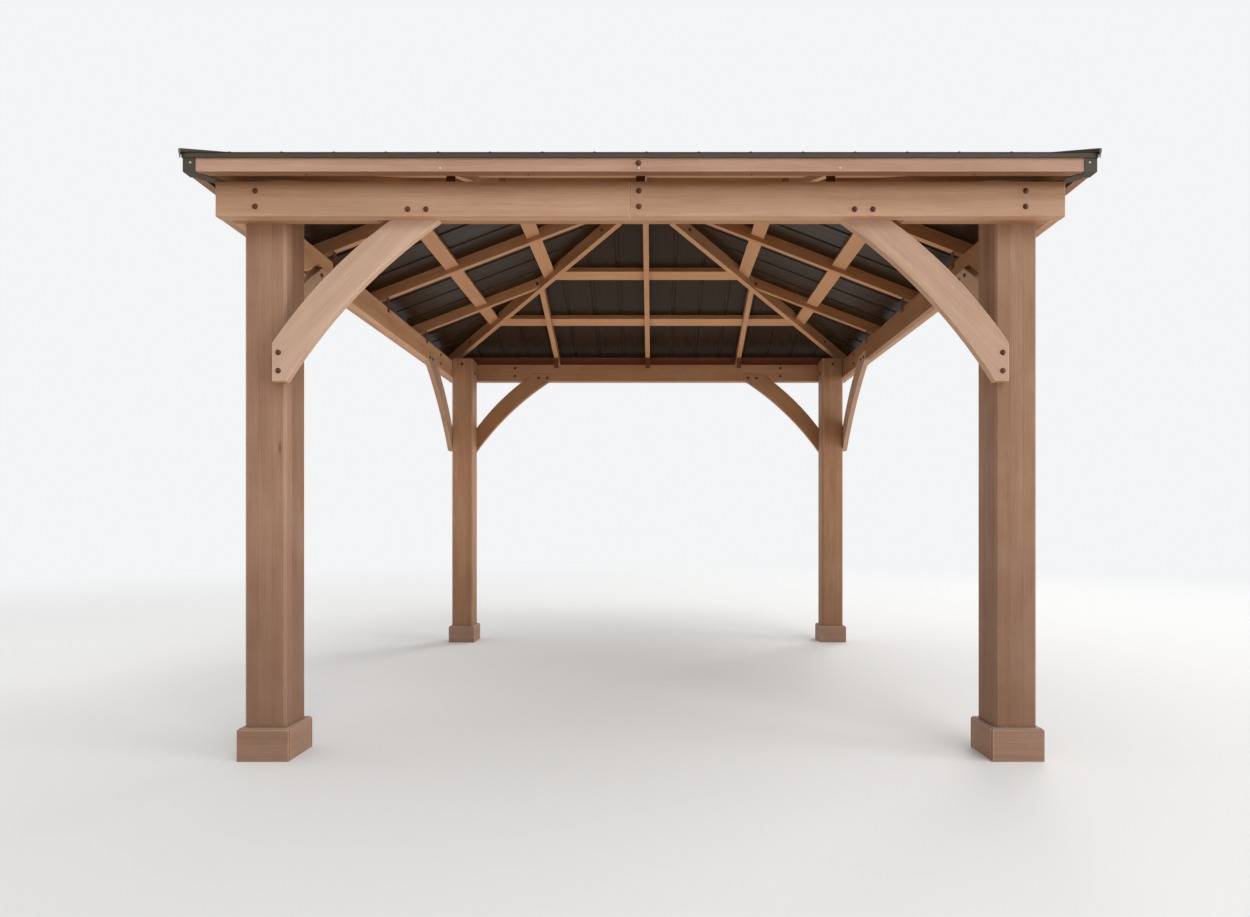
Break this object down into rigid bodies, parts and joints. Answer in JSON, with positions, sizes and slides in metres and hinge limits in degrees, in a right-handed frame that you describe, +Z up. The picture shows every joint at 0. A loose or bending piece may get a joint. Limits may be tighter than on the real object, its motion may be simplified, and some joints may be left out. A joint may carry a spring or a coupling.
{
  "type": "gazebo",
  "caption": "Square hip-roofed timber gazebo: posts with foot boards, a ring beam, curved corner braces, a framed roof and ribbed metal sheets.",
  "frame": {"origin": "on the ground, at the centre between the four posts", "axes": "+Z up, -Y out of the front, +X to the right seen from the front"},
  "size_m": [3.6918, 3.6918, 3.1863],
  "materials": {
    "post_wood": "stained, satin",
    "beam_wood": "stained, satin",
    "brace_wood": "stained, satin",
    "roof_wood": "stained, satin",
    "roof_metal": "dark brown, satin",
    "edge_metal": "dark grey-brown, satin"
  },
  "bodies": {
    "root": {"base_boards_narrow": "post_wood", "base_boards_wide": "post_wood", "braces_front": "brace_wood", "braces_left": "brace_wood", "braces_rear": "brace_wood", "braces_right": "brace_wood", "corner_brackets": "edge_metal", "crown": "roof_wood", "drip_edges_front_rear": "edge_metal", "drip_edges_sides": "edge_metal", "fascias_front_rear": "roof_wood", "fascias_sides": "roof_wood", "hip_caps": "roof_metal", "hip_rafters_front": "roof_wood", "hip_rafters_rear": "roof_wood", "inner_beam_front": "beam_wood", "inner_beam_left": "beam_wood", "inner_beam_rear": "beam_wood", "inner_beam_right": "beam_wood", "outer_beam_front_long": "beam_wood", "outer_beam_front_short": "beam_wood", "outer_beam_left_long": "beam_wood", "outer_beam_left_short": "beam_wood", "outer_beam_rear_long": "beam_wood", "outer_beam_rear_short": "beam_wood", "outer_beam_right_long": "beam_wood", "outer_beam_right_short": "beam_wood", "peak_cap": "roof_metal", "post_front_left": "post_wood", "post_front_right": "post_wood", "post_rear_left": "post_wood", "post_rear_right": "post_wood", "purlins_front": "roof_wood", "purlins_left": "roof_wood", "purlins_rear": "roof_wood", "purlins_right": "roof_wood", "rafter_ties": "edge_metal", "rafters_front": "roof_wood", "rafters_left": "roof_wood", "rafters_rear": "roof_wood", "rafters_right": "roof_wood", "roof_sheet_front": "roof_metal", "roof_sheet_left": "roof_metal", "roof_sheet_rear": "roof_metal", "roof_sheet_right": "roof_metal"}
  },
  "joints": []
}
